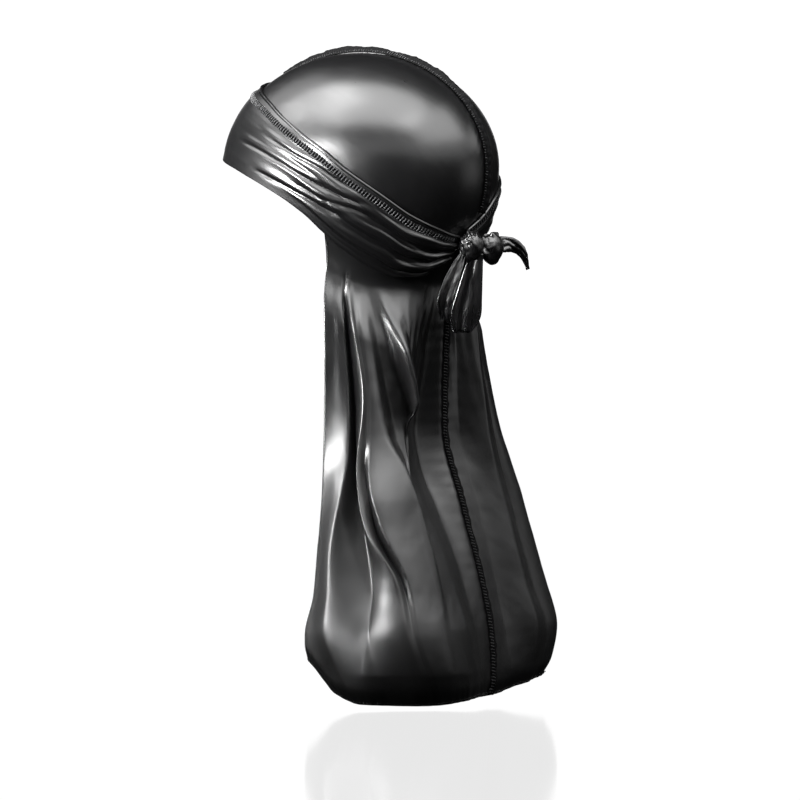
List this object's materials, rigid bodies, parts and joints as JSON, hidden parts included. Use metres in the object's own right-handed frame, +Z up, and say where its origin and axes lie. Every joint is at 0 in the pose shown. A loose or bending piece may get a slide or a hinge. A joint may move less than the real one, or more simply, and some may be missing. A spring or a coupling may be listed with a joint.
{
  "type": "satin head wrap with tie straps and long tail",
  "caption": "Worn satin head wrap: smooth two-panel crown, pleated brow band knotted at the nape, and a long tail that hangs down the neck.",
  "frame": {"origin": "top of the head, on the inner face of the crown, where the head carries the wrap", "axes": "+Z up; the wearer faces -Y and the wearer's left is +X; the tie is at the nape, towards +Y"},
  "size_m": [0.2249, 0.2176, 0.444],
  "materials": {
    "satin": "black satin with a soft directional sheen",
    "thread": "overlocked seam, matte black thread over satin"
  },
  "bodies": {
    "root": {"crown_left": "satin", "crown_right": "satin", "crown_seam": "thread", "brow_band": "satin", "brow_seam": "thread", "knot": "satin", "bow_loop_side": "satin", "bow_loop_hanging": "satin", "strap_end_side": "satin", "strap_end_hanging": "satin", "tail_left": "satin", "tail_right": "satin", "tail_seam": "thread"}
  },
  "joints": []
}
